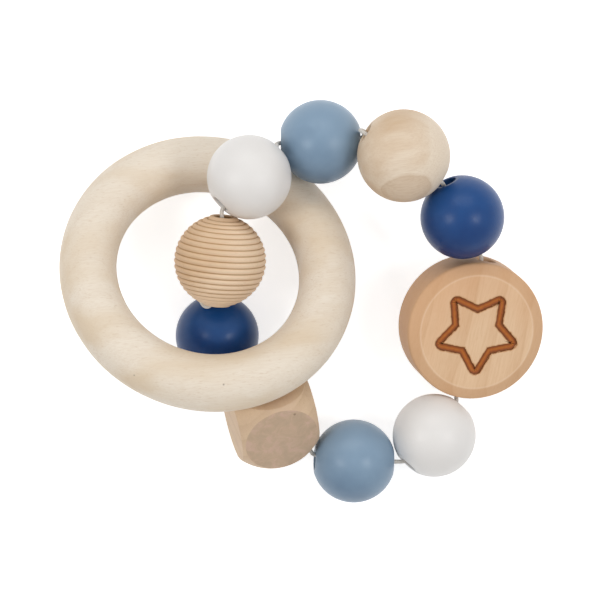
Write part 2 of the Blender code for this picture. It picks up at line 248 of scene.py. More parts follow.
@dataclass(frozen=True)
class Engraving:
    """A turned face with a star's outline burnt into it. The line is brown, darker towards its sides, and has
    a narrow scorched edge. The eased edge round the face is a shade darker, partly burnished by the tool and
    partly painted shade, with a fine painted highlight where it meets the face. Reach, line and face are in
    millimetres, the waist is a share of the reach, and the turn is in degrees."""

    reach: float
    waist: float
    line: float
    turn: float
    face: float
    bed: str = "#a0511b"
    bed_pale: str = "#b4681f"
    edge: str = "#7b4518"
    scorch: str = "#c08a58"
    burnish_and_shade: str = "#c99a70"
    crease_highlight: str = "#edd0b2"

    def lay(self, add: AddNode, spot: Socket, colour: Socket) -> Socket:
        """Lays the burnt line over a face that looks along +X.

        Args:
            add: adds a node to the material.
            spot: the place on the piece, in millimetres, in the piece's own directions.
            colour: the wood's colour.

        Returns:
            The colour with the burnt line on it.
        """
        tip = Vector((self.reach, 0))
        waist = Vector((math.cos(STAR_CORNER), math.sin(STAR_CORNER))) * self.reach * self.waist
        side = waist - tip
        out = Vector((side.y, -side.x)).normalized()
        split = add("ShaderNodeSeparateXYZ", {"Vector": spot})
        # The star lies in the piece's Z and Y, and folds onto one half of one tip
        bearing = add(MATH, {"operation": "ARCTAN2", 0: split.outputs["Y"], 1: split.outputs["Z"]})
        bearing = add(MATH, {"operation": "ADD", 1: math.radians(self.turn), 0: bearing.outputs[0]})
        folded = add(MATH, {"operation": "PINGPONG", 1: STAR_CORNER, 0: bearing.outputs[0]}).outputs[0]
        flat = add(VECTOR_MATH, {"operation": "MULTIPLY", 1: (0, 1, 1), 0: spot}).outputs[0]
        far = add(VECTOR_MATH, {"operation": "LENGTH", 0: flat}).outputs["Value"]
        # The eased edge is darker: partly burnished by the tool, partly painted shade
        rim = add(
            RANGE, {"From Min": self.face - 0.1, "From Max": self.face + 0.5, "To Max": 0.5, "Value": far}
        ).outputs["Result"]
        colour = add(MIX, {"data_type": "RGBA", 7: linear(self.burnish_and_shade), 0: rim, 6: colour}).outputs[2]
        # Painted highlight: a fine pale line where the eased edge meets the face
        beside = add(MATH, {"operation": "SUBTRACT", 1: self.face, 0: far}).outputs[0]
        beside = add(MATH, {"operation": "ABSOLUTE", 0: beside}).outputs[0]
        crease_highlight = add(
            RANGE, {"From Min": 0.05, "From Max": 0.3, "To Min": 0.35, "To Max": 0.0, "Value": beside}
        ).outputs["Result"]
        colour = add(MIX, {"data_type": "RGBA", 7: linear(self.crease_highlight), 0: crease_highlight, 6: colour}).outputs[2]
        cosine = add(MATH, {"operation": "COSINE", 0: folded}).outputs[0]
        sine = add(MATH, {"operation": "SINE", 0: folded}).outputs[0]
        x = add(MATH, {"operation": "MULTIPLY", 0: far, 1: cosine}).outputs[0]
        y = add(MATH, {"operation": "MULTIPLY", 0: far, 1: sine}).outputs[0]
        point = add("ShaderNodeCombineXYZ", {"X": x, "Y": y}).outputs[0]
        from_tip = add(VECTOR_MATH, {"operation": "SUBTRACT", 1: (*tip, 0), 0: point}).outputs[0]
        # Beyond the tip the outline turns round it, and elsewhere it keeps beside the straight side
        dot = {"operation": "DOT_PRODUCT", 0: from_tip}
        straight = add(VECTOR_MATH, dot | {1: (*out, 0)}).outputs["Value"]
        ahead = add(VECTOR_MATH, dot | {1: (*side.normalized(), 0)}).outputs["Value"]
        round_tip = add(VECTOR_MATH, {"operation": "LENGTH", 0: from_tip}).outputs["Value"]
        beyond = add(MATH, {"operation": "LESS_THAN", 1: 0.0, 0: ahead}).outputs[0]
        distance = add(MIX, {"data_type": "FLOAT", 0: beyond, 2: straight, 3: round_tip}).outputs[0]
        across = add(MATH, {"operation": "SUBTRACT", 1: self.line / 2, 0: distance}).outputs[0]
        uneven = add(NOISE, {"Scale": 1.1, "Detail": 2.0, "Vector": spot}).outputs["Fac"]
        uneven = add(MATH, {"operation": "MULTIPLY_ADD", 1: 0.5, 2: -0.25, 0: uneven}).outputs[0]
        across = add(MATH, {"operation": "ABSOLUTE", 0: across}).outputs[0]
        across = add(MATH, {"operation": "ADD", 0: across, 1: uneven}).outputs[0]
        # The ramp covers 2 mm out from the line's middle, and its places are shares of half the line
        half, covered = self.line / 2, 2.0
        places = (0.0, 0.45, 0.78, 1.0, 1.12)
        shades = (self.bed_pale, self.bed, self.edge, self.edge, self.scorch)
        stops = [(at * half / covered, linear(shade)) for at, shade in zip(places, shades)]
        place = add(MATH, {"operation": "DIVIDE", 1: covered, 0: across}).outputs[0]
        burnt = add(RAMP, {"stops": stops, "Fac": place}).outputs["Color"]
        share = add(
            RANGE,
            {"From Min": half * 1.02, "From Max": half * 1.45, "To Min": 1.0, "To Max": 0.0, "Value": across},
        ).outputs["Result"]
        front = add(MATH, {"operation": "GREATER_THAN", 1: 0.0, 0: split.outputs["X"]}).outputs[0]
        share = add(MATH, {"operation": "MULTIPLY", 0: share, 1: front}).outputs[0]
        return add(MIX, {"data_type": "RGBA", 0: share, 6: colour, 7: burnt}).outputs[2]


@dataclass(frozen=True)
class WoodFinish:
    """Sanded wood with no lacquer on it. Bands, fibres, rays and pores are solid patterns, so they run
    through the piece and come out on each side as that side cuts them. Pitches, sizes, the groove's two
    distances from the middle and the pith's distance are in millimetres. A side's direction says how fast
    the tint grows towards it, for each centimetre, and that growth is painted shade."""

    name: str
    light: str
    dark: str
    tint: str
    end: tuple[str, str, str] = ("#b39c84", "#c3a88f", "#cfaf9b")
    speck: str = "#7d6650"
    band_pitch: float = 2.2
    band_strength: float = 0.35
    band_stops: tuple[tuple[float, float], ...] = LATE_WOOD_LINE
    fibre_strength: float = 0.35
    ray_strength: float = 0.4
    tint_strength: float = 0.45
    tint_size: float = 12.0
    shade_side: tuple[float, float, float] = (0.0, 0.0, 0.0)
    speck_share: float = 0.12
    end_strength: float = 0.0
    groove: tuple[float, float] | None = None
    groove_brown_and_shade: str = "#a17a4e"
    roughness: float = 0.55
    specular: float = 0.38
    refraction: float = 1.46
    bump: float = 0.04
    pith: float = 40.0
    outward: tuple[float, float, float] = (0.3, 0.4, 0.9)
    seed: float = 0.0
    engraving: Engraving | None = None

    def make(self, place: Place, fibres: Vector) -> bpy.types.Material:
        """Makes the material for one piece.

        Args:
            place: where the piece lies.
            fibres: which way the fibres run, in the piece's own directions.

        Returns:
            The material.
        """
        material, shader, add = new_material(self.name)
        on_object = add("ShaderNodeTexCoord").outputs["Object"]
        board = place.along(fibres, Vector(self.outward))
        grain = add("ShaderNodeMapping", place.in_millimetres(board, on_object)).outputs[0]
        solid = {"noise_dimensions": "4D", "Scale": 1.0}

        # The fibres wander slowly, so that no band is a true circle
        slow = add(VECTOR_MATH, {"operation": "MULTIPLY", 1: (1, 1, 0.3), 0: grain}).outputs[0]
        wavy = solid | {"W": self.seed, "Scale": 0.11, "Detail": 2.0, "Vector": slow}
        wander = add(NOISE, wavy).outputs["Color"]
        reach = {1: (4.2, 4.2, 0.0), 2: (self.pith, 0.0, 0.0)}
        moved = add(VECTOR_MATH, {"operation": "MULTIPLY_ADD", 0: wander} | reach).outputs[0]
        from_pith = add(VECTOR_MATH, {"operation": "ADD", 0: grain, 1: moved}).outputs[0]
        level = add(VECTOR_MATH, {"operation": "MULTIPLY", 1: (1, 1, 0), 0: from_pith}).outputs[0]
        radius = add(VECTOR_MATH, {"operation": "LENGTH", 0: level}).outputs["Value"]
        years = add(MATH, {"operation": "DIVIDE", 1: self.band_pitch, 0: radius}).outputs[0]
        part = add(MATH, {"operation": "FRACT", 0: years}).outputs[0]
        year = add(MATH, {"operation": "FLOOR", 0: years}).outputs[0]
        greys = [(at, (value, value, value, 1)) for at, value in self.band_stops]
        band = add(RAMP, {"stops": greys, "Fac": part}).outputs["Color"]
        weight = add("ShaderNodeTexWhiteNoise", {"noise_dimensions": "1D", "W": year}).outputs["Value"]
        spread = {1: self.band_strength * 0.8, 2: self.band_strength * 0.4}
        weight = add(MATH, {"operation": "MULTIPLY_ADD", 0: weight} | spread).outputs[0]
        bands = add(MATH, {"operation": "MULTIPLY", 0: band, 1: weight}).outputs[0]

        # Fibres are 0.02 mm wide, and are drawn 0.3 mm wide and 4 mm long so that they show
        fine = add(VECTOR_MATH, {"operation": "MULTIPLY", 1: (3.2, 3.2, 0.22), 0: grain}).outputs[0]
        thready = {"W": self.seed + 3, "Detail": 3.0, "Roughness": 0.62, "Vector": fine}
        fibre = add(NOISE, solid | thready).outputs["Fac"]
        streaks = add(
            RANGE, {"From Min": 0.42, "From Max": 0.72, "To Max": self.fibre_strength, "Value": fibre}
        ).outputs["Result"]

        # Rays are thin ribbons from the pith outwards, and come out as dashes of 0.3 mm by 1.3 mm
        ribbons = add(VECTOR_MATH, {"operation": "MULTIPLY", 1: (1.7, 3.4, 0.75), 0: grain}).outputs[0]
        dashed = {"W": self.seed + 7, "Detail": 1.0, "Roughness": 0.4, "Vector": ribbons}
        ray = add(NOISE, solid | dashed).outputs["Fac"]
        rays = add(
            RANGE, {"From Min": 0.60, "From Max": 0.72, "To Max": self.ray_strength, "Value": ray}
        ).outputs["Result"]
        darker = add(MATH, {"operation": "ADD", 0: bands, 1: streaks}).outputs[0]
        darker = add(MATH, {"operation": "ADD", 0: darker, 1: rays}).outputs[0]
        darker = add(MATH, {"operation": "MINIMUM", 1: 1.0, 0: darker}).outputs[0]
        colour = add(
            MIX, {"data_type": "RGBA", 6: linear(self.light), 7: linear(self.dark), 0: darker}
        ).outputs[2]

        # The tint comes and goes across the board at random, and grows towards one side of it as painted
        # shade
        cloudy = {"W": self.seed + 11, "Scale": 1 / self.tint_size, "Detail": 3.0, "Vector": slow}
        tint_and_shade = add(NOISE, solid | cloudy).outputs["Fac"]
        about = add(VECTOR_MATH, {"operation": "SUBTRACT", 1: place.middle, 0: on_object}).outputs[0]
        # Painted shade: the tint grows steadily towards one side of the piece
        side = add(
            VECTOR_MATH, {"operation": "DOT_PRODUCT", 1: Vector(self.shade_side) / (10 * MM), 0: about}
        ).outputs["Value"]
        tint_and_shade = add(MATH, {"operation": "ADD", 0: tint_and_shade, 1: side}).outputs[0]
        tint_and_shade = add(
            RANGE, {"From Min": 0.44, "From Max": 0.66, "To Max": self.tint_strength, "Value": tint_and_shade}
        ).outputs["Result"]
        colour = add(MIX, {"data_type": "RGBA", 7: linear(self.tint), 0: tint_and_shade, 6: colour}).outputs[2]

        if self.end_strength:
            # Cut ends drink the light, and so look darker and greyer than the sides
            ends = add("ShaderNodeAttribute", {"attribute_name": "end_grain"}).outputs["Fac"]
            ends = add(MATH, {"operation": "MULTIPLY", 1: self.end_strength, 0: ends}).outputs[0]
            blotchy = {"Scale": 0.33, "Detail": 4.0, "Roughness": 0.62, "Distortion": 0.7, "Vector": grain}
            blotch = add(NOISE, blotchy).outputs["Fac"]
            stops = [(at, linear(shade)) for at, shade in zip((0.36, 0.5, 0.62), self.end)]
            end = add(RAMP, {"stops": stops, "Fac": blotch}).outputs["Color"]
            colour = add(MIX, {"data_type": "RGBA", 0: ends, 6: colour, 7: end}).outputs[2]
        if self.groove:
            # Each groove's bottom is darker brown: partly browned by the cutter's heat, partly painted shade
            far = add(VECTOR_MATH, {"operation": "LENGTH", 0: about}).outputs["Value"]
            low, high = (reach * MM for reach in self.groove)
            soft = {"interpolation_type": "SMOOTHSTEP", "To Min": 1.0, "To Max": 0.0}
            sunk_brown_and_shade = add(RANGE, soft | {"From Min": low, "From Max": high, "Value": far}).outputs["Result"]
            brown = linear(self.groove_brown_and_shade)
            colour = add(MIX, {"data_type": "RGBA", 0: sunk_brown_and_shade, 6: colour, 7: brown}).outputs[2]

        # A few open pores hold dust: specks up to 0.8 mm across, in some of the cells of a 5 mm pattern
        cells = add("ShaderNodeTexVoronoi", {"Scale": 0.21, "Vector": grain})
        fading = {"From Min": 0.05, "From Max": 0.08, "To Min": 0.6, "To Max": 0.0}
        near = add(RANGE, fading | {"Value": cells.outputs["Distance"]}).outputs["Result"]
        draw = add("ShaderNodeSeparateColor", {"Color": cells.outputs["Color"]}).outputs[0]
        chosen = add(MATH, {"operation": "LESS_THAN", 1: self.speck_share, 0: draw}).outputs[0]
        specks = add(MATH, {"operation": "MULTIPLY", 0: near, 1: chosen}).outputs[0]
        colour = add(MIX, {"data_type": "RGBA", 7: linear(self.speck), 0: specks, 6: colour}).outputs[2]
        if self.engraving:
            spot = add("ShaderNodeMapping", place.in_millimetres(place.turned, on_object)).outputs[0]
            colour = self.engraving.lay(add, spot, colour)

        matt = {"To Min": self.roughness - 0.05, "To Max": self.roughness + 0.07}
        rough = add(RANGE, {"From Min": 0.3, "From Max": 0.7, "Value": fibre} | matt).outputs["Result"]
        height = add(MATH, {"operation": "MULTIPLY_ADD", 1: -0.6, 0: darker, 2: fibre}).outputs[0]
        bump = add("ShaderNodeBump", {"Distance": self.bump * MM, "Height": height}).outputs["Normal"]
        gloss = {"IOR": self.refraction, "Specular IOR Level": self.specular}
        set_node(shader, {"Base Color": colour, "Roughness": rough, "Normal": bump} | gloss)
        return material


@dataclass(frozen=True)
class PaintFinish:
    """Water-based satin paint sprayed on a tumbled wooden ball. It lies thin, so the fibres lift it a little
    and it is a shade deeper where it gathered, and deeper towards one side as painted shade."""

    name: str
    body: str
    deep: str
    shaded_side: tuple[float, float, float] = (0.0, 0.0, 0.0)
    outward: tuple[float, float, float] = (0.3, 0.4, 0.9)
    roughness: float = 0.42
    specular: float = 0.5
    refraction: float = 1.5
    bump: float = 0.02
    seed: float = 0.0

    def make(self, place: Place, fibres: Vector) -> bpy.types.Material:
        """Makes the material for one piece.

        Args:
            place: where the piece lies.
            fibres: which way the fibres run under the paint, in the piece's own directions.

        Returns:
            The material.
        """
        material, shader, add = new_material(self.name)
        on_object = add("ShaderNodeTexCoord").outputs["Object"]
        board = place.along(fibres, Vector(self.outward))
        spot = add("ShaderNodeMapping", place.in_millimetres(board, on_object)).outputs[0]
        cloudy = {"noise_dimensions": "4D", "W": self.seed, "Scale": 0.16, "Detail": 2.0, "Vector": spot}
        gathered_and_shaded = add(NOISE, cloudy).outputs["Fac"]
        # Painted shade: the paint turns deeper towards one side of the ball, over its random mottling
        about = add(VECTOR_MATH, {"operation": "SUBTRACT", 1: place.middle, 0: on_object}).outputs[0]
        side = add(
            VECTOR_MATH, {"operation": "DOT_PRODUCT", 1: Vector(self.shaded_side) / (10 * MM), 0: about}
        ).outputs["Value"]
        gathered_and_shaded = add(MATH, {"operation": "MULTIPLY_ADD", 1: 0.4, 0: gathered_and_shaded, 2: side}).outputs[0]
        gathered_and_shaded = add(RANGE, {"From Min": 0.15, "From Max": 0.5, "Value": gathered_and_shaded}).outputs["Result"]
        shades = {6: linear(self.body), 7: linear(self.deep)}
        colour = add(MIX, {"data_type": "RGBA", 0: gathered_and_shaded} | shades).outputs[2]
        # Raised fibres under the coat, 0.4 mm apart
        stretched = add(VECTOR_MATH, {"operation": "MULTIPLY", 1: (2.4, 2.4, 0.35), 0: spot}).outputs[0]
        thready = {"Scale": 1.0, "Detail": 3.0, "Roughness": 0.6, "Vector": stretched}
        raised = add(NOISE, thready).outputs["Fac"]
        satin = {"To Min": self.roughness - 0.04, "To Max": self.roughness + 0.05}
        rough = add(RANGE, {"From Min": 0.3, "From Max": 0.7, "Value": raised} | satin).outputs["Result"]
        bump = add("ShaderNodeBump", {"Distance": self.bump * MM, "Height": raised}).outputs["Normal"]
        gloss = {"IOR": self.refraction, "Specular IOR Level": self.specular}
        set_node(shader, {"Base Color": colour, "Roughness": rough, "Normal": bump} | gloss)
        return material


@dataclass(frozen=True)
class ElasticFinish:
    """Round elastic in a plaited polyester cover. Threads are counted round it, and crossings along a
    millimetre of it."""

    name: str = "plaited white elastic"
    thread: str = "#ebe6de"
    between: str = "#cbc3b8"
    threads: float = 8.0
    crossings: float = 1.1
    relief: float = 0.12

    def make(self) -> bpy.types.Material:
        """Makes the material, which reads the piece's own map.

        Returns:
            The material.
        """
        material, shader, add = new_material(self.name)
        spot = add("ShaderNodeUVMap", {"uv_map": "along"}).outputs["UV"]
        scaled = add(
            VECTOR_MATH, {"operation": "MULTIPLY", 1: (self.threads, self.crossings, 0), 0: spot}
        ).outputs[0]
        split = add("ShaderNodeSeparateXYZ", {"Vector": scaled})
        ridges = []
        for way in ("ADD", "SUBTRACT"):
            slant = add(MATH, {"operation": way, 0: split.outputs["X"], 1: split.outputs["Y"]}).outputs[0]
            ridges.append(add(MATH, {"operation": "PINGPONG", 1: 0.5, 0: slant}).outputs[0])
        weave = add(MATH, {"operation": "MAXIMUM", 0: ridges[0], 1: ridges[1]}).outputs[0]
        stops = ((0.12, linear(self.between)), (0.36, linear(self.thread)))
        colour = add(RAMP, {"stops": stops, "Fac": weave}).outputs["Color"]
        bump = add("ShaderNodeBump", {"Distance": self.relief * MM, "Height": weave}).outputs["Normal"]
        cloth = {"Roughness": 0.7, "Sheen Weight": 0.25, "Sheen Roughness": 0.4}
        set_node(shader, {"Base Color": colour, "Normal": bump} | cloth)
        return material


# ---------------------------------------------------------------------------------------------------------
# The workbench: small helpers round Blender's own modelling operators


def make_active(thing: bpy.types.Object) -> None:
    """Selects one object alone, so that operators work on it.

    Args:
        thing: the object.
    """
    bpy.ops.object.select_all(action="DESELECT")
    thing.select_set(True)
    bpy.context.view_layer.objects.active = thing


def started(operator: Callable, **sizes: object) -> bpy.types.Object:
    """Adds a primitive with nothing else selected, and leaves its turn in its mesh.

    Args:
        operator: the primitive's operator.
        sizes: the operator's settings.

    Returns:
        The new object.
    """
    bpy.ops.object.select_all(action="DESELECT")
    operator(**sizes)
    bpy.ops.object.transform_apply(location=True, rotation=True, scale=True)
    return bpy.context.object


def modified(thing: bpy.types.Object, kind: str, **settings: object) -> None:
    """Adds a modifier, sets it and applies it.

    Args:
        thing: the object.
        kind: the modifier's type name.
        settings: the modifier's settings.
    """
    make_active(thing)
    modifier = thing.modifiers.new(kind.lower(), kind)
    for name, value in settings.items():
        setattr(modifier, name, value)
    bpy.ops.object.modifier_apply(modifier=modifier.name)


def round_edges(thing: bpy.types.Object, width: float, sharper_than: float, segments: int = 3) -> None:
    """Rounds the sharp edges of an object.

    Args:
        thing: the object.
        width: how far the rounding reaches from the edge.
        sharper_than: the angle, in degrees, from which an edge counts as sharp.
        segments: faces across the rounding.
    """
    limit = {"limit_method": "ANGLE", "angle_limit": math.radians(sharper_than)}
    modified(thing, "BEVEL", width=width, segments=segments, **limit)


def cut(thing: bpy.types.Object, tool: bpy.types.Object) -> None:
    """Cuts a tool's shape out of an object, and throws the tool away.

    Args:
        thing: the object.
        tool: the tool.
    """
    modified(thing, "BOOLEAN", operation="DIFFERENCE", solver="MANIFOLD", object=tool)
    bpy.data.objects.remove(tool)


class Bench:
    """An object held in edit mode. Points are picked by their place, then an operator shapes them."""

    def __init__(self, thing: bpy.types.Object) -> None:
        """Takes the object to work on."""
        self.thing = thing

    def __enter__(self) -> "Bench":
        """Opens the object in edit mode, picking by points.

        Returns:
            The bench.
        """
        make_active(self.thing)
        bpy.ops.object.mode_set(mode="EDIT")
        bpy.ops.mesh.select_mode(type="VERT")
        return self

    def __exit__(self, *_: object) -> None:
        """Goes back to object mode."""
        bpy.ops.object.mode_set(mode="OBJECT")

    def pick(self, wanted: Callable[[Vector], bool] = lambda _: True) -> None:
        """Picks the points for which wanted holds, and lets go of the others.

        Args:
            wanted: takes a point's place and says whether to pick it.
        """
        mesh = bmesh.from_edit_mesh(self.thing.data)
        for point in mesh.verts:
            point.select_set(False)
        for point in [point for point in mesh.verts if wanted(point.co)]:
            point.select_set(True)
        mesh.select_flush_mode()
        bmesh.update_edit_mesh(self.thing.data)

    def close_seams(self) -> None:
        """Merges doubled points all over and turns every face outwards."""
        self.pick()
        bpy.ops.mesh.remove_doubles(threshold=NEAR)
        bpy.ops.mesh.normals_make_consistent(inside=False)

    def spin(self, steps: int) -> None:
        """Turns the outline once round Z, and closes it up.

        Args:
            steps: faces round the turn.
        """
        self.pick()
        bpy.ops.mesh.spin(steps=steps, angle=math.tau, center=ORIGIN, axis=UP)
        self.close_seams()


def tube(name: str, line: np.ndarray, radius: float, sides: int = 16) -> bpy.types.Object:
    """Makes a tube with closed ends and a map called "along": turns round it, and millimetres along it.

    Args:
        name: the object's name.
        line: the points along its middle, in millimetres.
        radius: the tube's radius, in millimetres.
        sides: faces round the tube.

    Returns:
        The object.
    """
    ahead = np.gradient(line, axis=0)
    ahead /= np.linalg.norm(ahead, axis=1, keepdims=True)
    aside = (0.3, 0.5, 0.8)  # any direction but the tube's own
    side = np.cross(ahead[0], aside)
    rows = []
    for point, way in zip(line, ahead):
        side = side - way * side.dot(way)
        side = side / np.linalg.norm(side)
        up = np.cross(way, side)
        turn = np.arange(sides) * math.tau / sides
        rows.append(point + radius * (np.cos(turn)[:, None] * side + np.sin(turn)[:, None] * up))
    points = np.concatenate(rows)
    count = len(line)
    step = np.concatenate(([0.0], np.cumsum(np.linalg.norm(np.diff(line, axis=0), axis=1))))
    faces, maps = [], []
    for k in range(count - 1):
        for s in range(sides):
            after = (s + 1) % sides
            low, high = k * sides, (k + 1) * sides
            faces.append((low + s, low + after, high + after, high + s))
            u0, u1 = s / sides, (s + 1) / sides
            maps += [(u0, step[k]), (u1, step[k]), (u1, step[k + 1]), (u0, step[k + 1])]
    faces.append(tuple(reversed(range(sides))))
    faces.append(tuple(range((count - 1) * sides, count * sides)))
    maps += [(0.0, 0.0)] * sides + [(0.0, float(step[-1]))] * sides
    mesh = bpy.data.meshes.new(name)
    mesh.from_pydata([tuple(p) for p in points], [], faces)
    layer = mesh.uv_layers.new(name="along")
    layer.data.foreach_set("uv", np.array(maps, np.float32).ravel())
    thing = bpy.data.objects.new(name, mesh)
    bpy.context.scene.collection.objects.link(thing)
    return thing


def smooth_line(points: np.ndarray, spacing: float) -> np.ndarray:
    """A smooth line through points, with a new point about every spacing.

    Args:
        points: the places that the line passes through.
        spacing: the distance between the new points.

    Returns:
        The new points.
    """
    padded = np.concatenate(([2 * points[0] - points[1]], points, [2 * points[-1] - points[-2]]))
    line = []
    for a, b, c, d in zip(padded, padded[1:], padded[2:], padded[3:]):
        steps = max(1, round(float(np.linalg.norm(c - b)) / spacing))
        t = (np.arange(steps) / steps)[:, None]
        line.append(
            0.5 * (2 * b + (c - a) * t + (2 * a - 5 * b + 4 * c - d) * t**2 + (3 * b - a - 3 * c + d) * t**3)
        )
    return np.concatenate([*line, points[-1:]])


# ---------------------------------------------------------------------------------------------------------
# The pieces


@dataclass
class Piece:
    """One piece of the toy. A kind of piece fills in shape(), and place() if it doesn't spin on a bore.

    Turns and angles are in degrees. End grain starts to show where a surface's direction has ends_from of the
    fibres' own in it, and shows fully at ends_full of the way from there to straight along them."""

    node: str
    slot: Slot
    finish: WoodFinish | PaintFinish | ElasticFinish
    grain: Vector = field(default_factory=lambda: Vector(Grain.ALONG_BORE.value))
    turn: float = 0.0
    smooth_angle: float = 40.0
    ends_from: float = 0.55
    ends_full: float = 0.9

    @property
    def body(self) -> str:
        """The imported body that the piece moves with."""
        return self.node

    def shape(self) -> bpy.types.Object:
        """Models the piece in millimetres about the origin."""
        raise NotImplementedError

    def place(self, joints: dict[str, dict]) -> Place:
        """The piece's place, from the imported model's joints by name."""
        return Place.on_bore(joints[f"{self.node}_spin"], self.turn)

    def dress(self, thing: bpy.types.Object, place: Place) -> None:
        """Gives the piece its finish, and marks how far each corner looks along the fibres.

        Args:
            thing: the piece, in its place.
            place: where the piece lies.
        """
        mesh = thing.data
        ends = mesh.attributes.new("end_grain", "FLOAT", "CORNER")
        looks = np.array([tuple(corner.vector) for corner in mesh.corner_normals])
        fibres = np.array((place.turned @ self.grain).normalized())
        share = (np.abs(looks @ fibres) - self.ends_from) / (1 - self.ends_from)
        share = np.clip(share / self.ends_full, 0, 1)
        ends.data.foreach_set("value", (share * share * (3 - 2 * share)).astype(np.float32))
        mesh.materials.clear()
        mesh.materials.append(self.finish.make(place, self.grain))

    def build(self, joints: dict[str, dict]) -> bpy.types.Object:
        """Models the piece, lays it in its place, dresses it and hands it to its body.

        Args:
            joints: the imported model's joints by name.

        Returns:
            The finished piece.
        """
        thing = self.shape()
        thing.name = f"{self.node}_detailed"
        thing.data.name = thing.name
        place = self.place(joints)
        thing.data.transform(place.matrix())
        make_active(thing)
        bpy.ops.object.shade_smooth_by_angle(angle=math.radians(self.smooth_angle))
        self.dress(thing, place)
        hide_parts(self.node)
        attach(thing, self.body)
        low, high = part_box(self.node)
        corners = np.array(thing.bound_box)
        over = max(*(np.array(low) - corners.min(axis=0)), *(corners.max(axis=0) - np.array(high))) / MM
        count = len(thing.data.polygons)
        log.info("%s: %d faces, %.2f mm past its packed box at most", thing.name, count, over)
        return thing


@dataclass
class Ball(Piece):
    """A turned ball with a bore, flat round each mouth, and the mouth's rim eased with a fine file."""

    diameter: float = 20.0
    bore: float = 4.6
    flat: float = 0.9
    flat_round: float = 0.25
    rim: float = 0.32
    section_points: int = 104
    around: int = 112

    def section(self) -> bpy.types.Object:
        """Draws the circle that the ball's outline is cut from.

        Returns:
            The circle.
        """
        return started(
            bpy.ops.mesh.primitive_circle_add,
            vertices=self.section_points,
            radius=self.diameter / 2,
            fill_type="NOTHING",
            rotation=STANDING,
        )

    def carve(self, bench: Bench) -> None:
        """Changes the outline before it is turned. A plain ball has nothing more on it."""

    def shape(self) -> bpy.types.Object:
        """Cuts the outline, closes it along the bore and turns it about Z.

        Returns:
            The ball.
        """
        thing = self.section()
        mouth = self.bore / 2
        edge = mouth + self.flat
        with Bench(thing) as bench:
            bench.pick()
            bpy.ops.mesh.bisect(plane_co=(edge, 0, 0), plane_no=(1, 0, 0), clear_inner=True)
            self.carve(bench)
            for side in (1, -1):
                bench.pick(lambda p, side=side: abs(p.x - edge) < NEAR and p.z * side > 0)
                bpy.ops.mesh.extrude_vertices_move(TRANSFORM_OT_translate={"value": (-self.flat, 0, 0)})
            bench.pick(lambda p: abs(p.x - edge) < NEAR)
            bpy.ops.mesh.bevel(offset=self.flat_round, segments=3, affect="VERTICES")
            bench.pick(lambda p: abs(p.x - mouth) < NEAR)
            bpy.ops.mesh.edge_face_add()
            bpy.ops.mesh.bevel(offset=self.rim, segments=4, affect="VERTICES")
            bench.spin(self.around)
        return thing


@dataclass
class RibbedBall(Ball):
    """A bare ball with round ridges turned on it, and a narrow groove between each two."""

    diameter: float = 22.0
    grooves: int = 19
    depth: float = 0.45
    rounding: float = 0.2
    ridge_round: float = 0.6
    groove_round: float = 0.1
    section_points: int = 94
    around: int = 128

    def section(self) -> bpy.types.Object:
        """Draws the circle with a point level with its middle, where a groove goes.

        Returns:
            The circle.
        """
        return started(
            bpy.ops.mesh.primitive_circle_add,
            vertices=self.section_points,
            radius=self.diameter / 2 + self.rounding,
            fill_type="NOTHING",
            rotation=(math.pi / 2, math.pi / self.section_points, 0),
        )

    def carve(self, bench: Bench) -> None:
        """Draws every other point in to a groove's bottom, and rounds the ridges between.

        Args:
            bench: the outline, held in edit mode.
        """
        step = math.tau / self.section_points
        radius = self.diameter / 2 + self.rounding
        bottom = self.diameter / 2 - self.depth

        def steps_up(p: Vector, even: bool, below: int) -> bool:
            """Says whether a point belongs to the grooves or to the ridges.

            Args:
                p: the point's place.
                even: whether an even number of steps from level is wanted, or an odd one.
                below: the number of steps that a wanted point stays under.

            Returns:
                Whether the point is wanted.
            """
            turns = math.atan2(p.z, p.x) / step
            count = round(turns)
            return abs(turns - count) < on_point and (count % 2 == 0) == even and abs(count) < below

        # The last points by the flats are left out, since the flats' own corners are next to them
        on_point = 0.02
        bench.pick(lambda p: abs(abs(math.atan2(p.z, p.x)) / step - self.grooves) < on_point)
        bpy.ops.mesh.dissolve_verts()
        bench.pick(lambda p: steps_up(p, True, self.grooves))
        bpy.ops.transform.resize(value=(bottom / radius,) * 3, center_override=ORIGIN)
        bench.pick(lambda p: steps_up(p, False, self.grooves - 1))
        bpy.ops.mesh.bevel(offset=self.ridge_round, segments=5, affect="VERTICES")
        bench.pick(lambda p: abs(math.hypot(p.x, p.z) - bottom) < NEAR)
        bpy.ops.mesh.bevel(offset=self.groove_round, segments=2, affect="VERTICES")


@dataclass
class BoredPiece(Piece):
    """A piece whose bore is drilled after it is shaped. The drill stands clear of the wood at both ends."""

    bore: float = 4.6
    rim: float = 0.35
    drill_sides: int = 72
    clear: float = 1.0

    def drill(self, thing: bpy.types.Object, length: float) -> None:
        """Drills along Z, and eases both mouths.

        Args:
            thing: the piece.
            length: the distance between the mouths.
        """
        radius, half, rim = self.bore / 2, length / 2, self.rim
        z, out = -half - self.clear, rim + self.clear
        bit = started(
            bpy.ops.mesh.primitive_circle_add,
            vertices=self.drill_sides,
            radius=radius + out,
            fill_type="NGON",
            location=(0, 0, z),
        )
        # Each step is a height and how far the drill is wider there than the bore
        steps = [(-half, rim), (-half + rim * 0.3, rim * 0.45), (-half + rim, 0.0)]
        steps += [(-height, width) for height, width in reversed(steps)] + [(-z, out)]
        with Bench(bit) as bench:
            bench.pick()
            for new_z, new_out in steps:
                bpy.ops.mesh.extrude_region_move(TRANSFORM_OT_translate={"value": (0, 0, new_z - z)})
                share = (radius + new_out) / (radius + out)
                bpy.ops.transform.resize(value=(share, share, 1), center_override=(0, 0, new_z))
                z, out = new_z, new_out
            bench.close_seams()
        cut(thing, bit)


